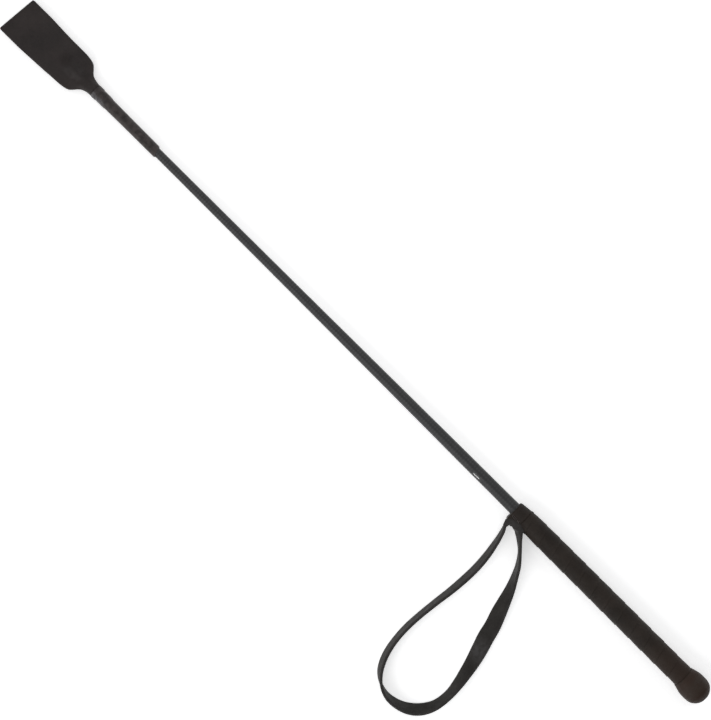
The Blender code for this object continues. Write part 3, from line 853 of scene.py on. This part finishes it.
def make_pommel():
    """A leather cap over the knob: a rolled lip at the grip, and gathers that run in under the butt disc."""
    first = station_of(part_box("pommel_cover")[0].x)
    disc = station_of(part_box("butt_disc")[0].x)
    shape = eased([
        (first + 0.5, 8.25), (641.3, 8.65), (643, 9.15), (645, 9.65), (647, 9.88), (649, 9.95), (651, 9.93),
        (653.2, 9.7), (655.2, 9.1), (657.0, 7.95), (658.4, 6.6), (659.3, 5.4), (659.5, 5.0),
    ])
    lip = [
        (first + 1.2, 6.75), (first + 0.2, 6.9), (first, 7.5), (first, 8.0), (first + 0.12, 8.22),
        (first + 0.35, 8.32),
    ]
    stations = np.concatenate([np.arange(first + 0.8, 656, 0.45), np.arange(656, 659.5, 0.25)])
    run = [(station, shape(station)) for station in stations]
    mouth = [(659.5, 4.9), (659.3, 4.72), (658.2, 4.7)]
    inner = [(657.0, 5.2), (654.5, 7.6), (650, 8.8), (645, 8.4), (641.4, 7.5)]
    sides = 112
    rows, wear_tone_and_painted_light = [], []
    for station, radius in lip + run + mouth + inner:
        outside = (station, radius) in run
        ring, rubbed = [], []
        for k in range(sides):
            angle = 2 * math.pi * k / sides
            r = radius
            if outside:
                gather = smooth_step(654.5, 658.6, station) * (1 - smooth_step(659.1, 659.5, station))
                fold = GATHERS * angle + 1.6 * ripple(0, 3 * angle, 0, 1, 4.4)
                r -= GATHER_DEPTH * gather * (0.5 + 0.5 * math.cos(fold))
                r += 0.07 * ripple(station, 9 * math.cos(angle), 9 * math.sin(angle), 6, 8.1)
            ring.append(shaft_point(station, r, angle))
            lip_wear = 0.5 if station < first + 0.4 and r > 7.9 else 0.0
            rubbed.append(0.45 * smooth_step(9.3, 9.95, r) + lip_wear)
        rows.append(ring)
        wear_tone_and_painted_light.append(rubbed)
    cover = skin("pommel_leather", rows, ends="loop", wear_tone_and_painted_light=wear_tone_and_painted_light)
    add_floats(cover.data, "tint", np.ones(len(cover.data.vertices)))
    cover.data.materials.append(GRIP_LEATHER)
    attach(cover, "crop")
    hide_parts("pommel_cover")

    end = station_of(HALF_LENGTH)
    profile = [
        (disc, 0.01), (disc, 4.1), (disc + 0.15, 4.42), (disc + 0.5, 4.5), (end - 0.5, 4.48),
        (end - 0.22, 4.3), (end - 0.06, 3.9), (end - 0.02, 3.2), (end, 2.0), (end, 0.01),
    ]
    sides = 56
    wear_tone_and_painted_light = [[0.5 if radius > 3.8 else 0.1] * sides for _, radius in profile]
    button = skin("butt_button", turned_rows(profile, sides), wear_tone_and_painted_light=wear_tone_and_painted_light)
    add_floats(button.data, "tint", np.ones(len(button.data.vertices)))
    button.data.materials.append(GRIP_LEATHER)
    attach(button, "crop")
    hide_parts("butt_disc")


# Wrist loop

STRAP_WIDTH = 11.5
STRAP_THICKNESS = 2.0
STRAP_ROOT_RISE = 42.0
# Places along the strap with a row of stitches on its inner face, which hold the crown to the collar.
CROWN_SEAMS = (0.9, -2.7)
# How far the strap's outer face stands out where its root is padded, against the place along it.
ROOT_FILL = eased([
    (-9.5, 0.0), (-7.2, 0.2), (-5.6, 0.9), (-4.2, 1.5), (-2.2, 1.1), (-0.8, 0.3), (1.0, 0.3), (2.2, 2.7),
    (3.2, 2.7), (3.8, 2.1), (4.5, 1.45), (5.3, 0.9), (6.8, 0.35), (10.0, 0.0),
])
# How much of the padding there curves round the collar and grip, of SADDLE_RADIUS, against the same place.
SADDLE_RADIUS = 7.4
ROOT_SADDLE = eased([(-7.6, 0.0), (-6.0, 0.7), (-4.2, 1.0), (0.8, 1.0), (2.6, 0.0)])
# Places painted paler as highlights: millimetres along the strap, their reach and their size, on its inner
# face and on both.
INNER_SHEEN_SPOT = (239.5, 12.0, 0.9)
TWIST_HIGHLIGHT = (301.0, 11.0, 0.75)
# Rows this far apart along the strap near the collar, out to this distance, and their number elsewhere.
ROOT_STEP, ROOT_REACH = 0.3, 22.5
LOOP_ROWS = 310
# The strap's centre line (X, Y) in millimetres and its lean from upright in degrees, from the crown at the
# collar down the leg nearer the keeper and back up the leg beside the grip.
STRAP_ROUTE = [
    (155.3, -9.05, 0), (154.0, -9.2, 3), (153.0, -9.85, 7), (152.5, -10.9, 9), (152.3, -12.4, 8),
    (152.65, -13.9, 3), (153.4, -16.1, -2), (154.7, -20.5, -5), (155.8, -25.1, -8), (157.6, -34.9, -12),
    (158.6, -46.0, -14), (158.4, -57.3, -14), (157.4, -69.9, -12), (155.7, -82.9, -10), (154.3, -95.9, -9),
    (153.6, -108.0, -10), (154.1, -118.9, -10), (155.8, -128.7, -12), (158.7, -137.0, -13),
    (163.1, -143.9, -10), (169.7, -149.0, 0), (178.2, -151.3, 12), (187.8, -149.8, 22), (195.5, -145.8, 30),
    (201.4, -139.6, 29), (205.2, -131.4, 22), (206.4, -121.0, 20), (205.5, -110.9, 28), (203.8, -101.4, 38),
    (202.1, -93.4, 50), (199.8, -84.6, 66), (197.2, -76.1, 76), (194.8, -67.2, 63), (191.6, -58.5, 55),
    (188.6, -50.1, 40), (185.5, -41.5, 26), (181.9, -33.5, 14), (177.9, -26.0, 7), (172.2, -18.7, 0),
    (166.7, -13.6, 5), (162.0, -9.7, 14), (158.7, -9.07, 5),
]


def strap_outline():
    """The strap's section as (up, out) in millimetres: a flat bar with rounded corners."""
    corner = 0.62
    half_up, half_out = STRAP_WIDTH / 2 - corner, STRAP_THICKNESS / 2 - corner
    points = []
    for k, (up, out) in enumerate([(1, 1), (1, -1), (-1, -1), (-1, 1)]):
        center_up, center_out, first = up * half_up, out * half_out, -90 * k
        arc = []
        for step in (0, 22.5, 45, 67.5, 90):
            a = math.radians(first + 90 - step)
            arc.append((center_up + corner * math.cos(a), center_out + corner * math.sin(a)))
        points.append(arc)
    outline = []
    for k, arc in enumerate(points):
        outline += arc
        following = points[(k + 1) % 4][0]
        runs = 2 if k % 2 == 0 else 9
        for step in range(1, runs):
            t = step / runs
            outline.append(tuple(a * (1 - t) + b * t for a, b in zip(arc[-1], following)))
    return outline


def bump_at(travelled, place, reach, length):
    """A smooth hump from 0 to 1 round a place along a loop of that length."""
    away = abs(math.remainder(travelled - place, length))
    return 1 - smooth_step(0.0, reach, away)


def strap_spacing(length):
    """Distances along the strap, closer together where it bends at the collar."""
    root = np.arange(0.0, ROOT_REACH, ROOT_STEP)
    middle = np.linspace(ROOT_REACH, length - ROOT_REACH, LOOP_ROWS)
    return np.concatenate([root, middle, length - root[:0:-1]])


def make_strap():
    """The wrist strap: a closed loop on its edge, lying on the surface, that rises to the collar."""
    points, travelled, length = closed_spline(STRAP_ROUTE, strap_spacing)
    count = len(points)
    seam_rows = [int(np.argmin(np.abs(travelled - place % length))) for place in CROWN_SEAMS]
    root_height = JOINTS["loop_swing"]["pos_m"][2] / MM
    outline = strap_outline()
    rows, wear_tone_and_painted_light, path, seams = [], [], [], []
    for k, (x, y, lean) in enumerate(points):
        before, after = points[k - 1], points[(k + 1) % count]
        tangent = Vector((after[0] - before[0], after[1] - before[1], 0.0)).normalized()
        outward = Vector((tangent.y, -tangent.x, 0.0))
        angle = math.radians(lean)
        up = Vector((0, 0, math.cos(angle))) + outward * math.sin(angle)
        side = outward * math.cos(angle) - Vector((0, 0, math.sin(angle)))
        rest = STRAP_WIDTH / 2 * abs(math.cos(angle)) + STRAP_THICKNESS / 2 * abs(math.sin(angle))
        from_crown = min(travelled[k], length - travelled[k])
        lifted = 1.0 - smooth_step(0.0, STRAP_ROOT_RISE, from_crown)
        center = Vector((x, y, rest + (root_height - rest) * lifted))
        path.append(center * MM)
        if k in seam_rows:
            seams.append((center - side * (STRAP_THICKNESS / 2 - 0.03), up, -side))
        place = math.remainder(travelled[k], length)
        fill = ROOT_FILL(place)
        hug = ROOT_SADDLE(place)
        # Painted highlights: the leather turns paler at two places along the strap, on the inner face and on
        # both faces.
        inner_sheen, twist = (
            depth * bump_at(travelled[k], at, reach, length) for at, reach, depth in (INNER_SHEEN_SPOT, TWIST_HIGHLIGHT)
        )
        ring, rubbed = [], []
        for a, b in outline:
            swell = 1 + 0.02 * ripple(travelled[k], a, b, 22, 6.6)
            out = b * (1 + 0.05 * ripple(travelled[k], a, 0, 12, 9.1))
            saddle = hug * (SADDLE_RADIUS - math.sqrt(SADDLE_RADIUS ** 2 - a * a))
            out += max(b, 0.0) * (fill * (1 - 0.3 * (1 - hug) * (2 * a / STRAP_WIDTH) ** 4) + saddle)
            ring.append(center + up * (a * swell) + side * out)
            edge = smooth_step(STRAP_WIDTH / 2 - 0.9, STRAP_WIDTH / 2 - 0.1, abs(a))
            # Paler rubbed edges, and the painted highlights.
            rubbed.append(max(0.42 * edge, twist, inner_sheen if b < 0 else 0.0))
        rows.append(ring)
        wear_tone_and_painted_light.append(rubbed)
    strap = skin("wrist_strap_leather", rows, ends="loop", wear_tone_and_painted_light=wear_tone_and_painted_light, placed=Matrix.Identity(4))
    strap.data.materials.append(STRAP_LEATHER)
    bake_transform(strap)
    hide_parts("wrist_strap")
    made = [
        stitch(middle + up * (a + 0.2), middle + up * (a + 1.7), inward)
        for middle, up, inward in seams for a in np.arange(-4.7, 3.5, 1.9)
    ]
    sew("crown_stitches", made, "loop_hanger")


COLLAR_LAP = 128.0
COLLAR_BORE = 4.85
COLLAR_FRONT_ROUND = 0.95
COLLAR_BACK_ROUND = 0.2
HANGER_HALF_HEIGHT = 4.8
HANGER_SOFTNESS = 0.3
# Stations along the collar between its rounded rims.
COLLAR_STATIONS = (480.3, 480.7, 481.1, 481.6, 482.2, 483.2, 484.4, 485.6, 486.6)
HANGER_REACH = eased([
    (478.9, 8.2), (479.4, 8.6), (480.2, 8.6), (480.6, 8.45), (481.0, 8.15), (481.6, 7.98), (482.6, 7.93),
    (487.5, 7.93),
])


def collar_outer(degrees, station, share):
    """The collar's outer radius at a station, share of the way along it towards the grip. Its strip laps over
    itself at COLLAR_LAP, and draws out to a flat face at 180 degrees, where the strap's crown hangs."""
    since_lap = (degrees - COLLAR_LAP) % 360.0
    ring = 5.8 + 0.93 * share + 0.34 * since_lap / 360.0
    reach = HANGER_REACH(station)
    away = abs(math.remainder(math.radians(degrees - 180.0), 2 * math.pi))
    corner = math.atan2(HANGER_HALF_HEIGHT, reach)
    tangent = corner + math.acos(ring / math.hypot(reach, HANGER_HALF_HEIGHT))
    flank = ring / math.cos(max(tangent - away, 0.0))
    if away > math.radians(80):
        return flank
    face = reach / math.cos(away)
    return min(face, flank) - HANGER_SOFTNESS * math.log1p(math.exp(-abs(face - flank) / HANGER_SOFTNESS))


def make_collar():
    """The strap's turn round the shaft, row by row round it. The last row is its cut end, back down where the
    first row is."""
    first = station_of(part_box("loop_collar")[0].x)
    last = station_of(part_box("grip_wrap")[0].x) - 0.05
    degrees = [COLLAR_LAP + 0.3 + a for a in np.linspace(0, 358.6, 180)] + [COLLAR_LAP + 359.2]
    arc = [math.radians(t) for t in (0, 22.5, 45, 67.5, 90)]
    rows, wear_tone_and_painted_light = [], []
    for angle in degrees:
        a = math.radians(angle)
        cut_end = angle > COLLAR_LAP + 359.0
        at = (COLLAR_LAP + 0.3 if cut_end else angle) % 360.0

        def outer(station):
            share = (station - first) / (last - first)
            return collar_outer(at, station, share) + (0.04 if cut_end else 0.0)

        front = [(first + COLLAR_FRONT_ROUND * (1 - math.sin(t)), COLLAR_FRONT_ROUND * (1 - math.cos(t)))
                 for t in reversed(arc)]
        middle = [(station, 0.0) for station in COLLAR_STATIONS]
        back = [(last - COLLAR_BACK_ROUND * (1 - math.sin(t)), COLLAR_BACK_ROUND * (1 - math.cos(t)))
                for t in arc]
        outline = [(station, outer(station) - drop) for station, drop in front + middle + back]
        outline += [(last, (COLLAR_BORE + outer(last)) / 2), (last, COLLAR_BORE)]
        outline += [(first, COLLAR_BORE), (first, (COLLAR_BORE + outer(first)) / 2)]
        ring, rubbed = [], []
        for station, radius in outline:
            _, y, z = shaft_point(station, radius, a)
            r = radius + (0.05 * ripple(station, y, z, 4, 3.9) if radius > COLLAR_BORE else 0.0)
            ring.append(shaft_point(station, r, a))
            edge = min(station - first, last - station)
            rubbed.append(0.5 * (1 - smooth_step(0.0, 0.7, edge)) if radius > 5.4 else 0.0)
        rows.append(ring)
        wear_tone_and_painted_light.append(rubbed)
    collar = skin("loop_collar_leather", rows, ends="loop", wear_tone_and_painted_light=wear_tone_and_painted_light)
    collar.data.materials.append(GRIP_LEATHER)
    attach(collar, "loop_hanger")
    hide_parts("loop_collar")
    make_stitches(first, last)


def stitch(start, end, outward, radius=0.26, lift=0.2):
    """A short thread from start to end, in millimetres in the row frame, that rises between its sunk ends."""
    sides, steps = 8, 10
    run = (end - start).normalized()
    across = run.cross(outward).normalized()
    rows, lay = [], []
    for k in range(steps + 1):
        share = k / steps
        rise = lift - (lift + 0.4) * abs(2 * share - 1) ** 3
        center = start.lerp(end, share) + outward * rise
        turns = [2 * math.pi * j / sides for j in range(sides)]
        rows.append([center + (outward * math.cos(t) + across * math.sin(t)) * radius for t in turns])
        lay.append([(share * 3.0, j / sides, 0.0) for j in range(sides)])
    return skin("stitch", rows, lay=lay, placed=Matrix.Identity(4))


def sew(name, stitches, body, *replaced):
    """Joins stitches into one piece that rides on a body."""
    with bpy.context.temp_override(active_object=stitches[0], selected_editable_objects=stitches):
        bpy.ops.object.join()
    joined = stitches[0]
    joined.name = name
    joined.data.materials.append(THREAD)
    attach(joined, body)
    if replaced:
        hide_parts(*replaced)


def make_stitches(first, last):
    """A slanting whip stitch that closes the collar's lap."""
    made = []
    for station in np.linspace(first + 1.2, last - 2.0, 6):
        ends = []
        for degrees, ahead in ((COLLAR_LAP - 6, 0.0), (COLLAR_LAP + 7, 1.1)):
            share = (station + ahead - first) / (last - first)
            r = collar_outer(degrees % 360.0, station + ahead, share) + 0.02
            a = math.radians(degrees)
            ends.append(SHAFT @ (Vector(shaft_point(station + ahead, r, a)) * MM) / MM)
        a = math.radians(COLLAR_LAP)
        outward = SHAFT.to_3x3() @ Vector((0, math.cos(a), math.sin(a)))
        made.append(stitch(ends[0], ends[1], outward, lift=0.34))
    sew("collar_stitches", made, "loop_hanger", "collar_thread")


def repaint(node, material):
    slots = frame["nodes"][node].data.materials
    slots.clear()
    slots.append(material)


make_camera()
make_studio()
make_strap()
make_keeper()
make_whipping()
make_braid()
make_grip()
make_pommel()
make_collar()
rubber = rubber_material()
repaint("shaft_rod", fibreglass_material())
repaint("tip_cap", rubber)
repaint("handle_core", rubber)
repaint("pommel_core", wood_material())
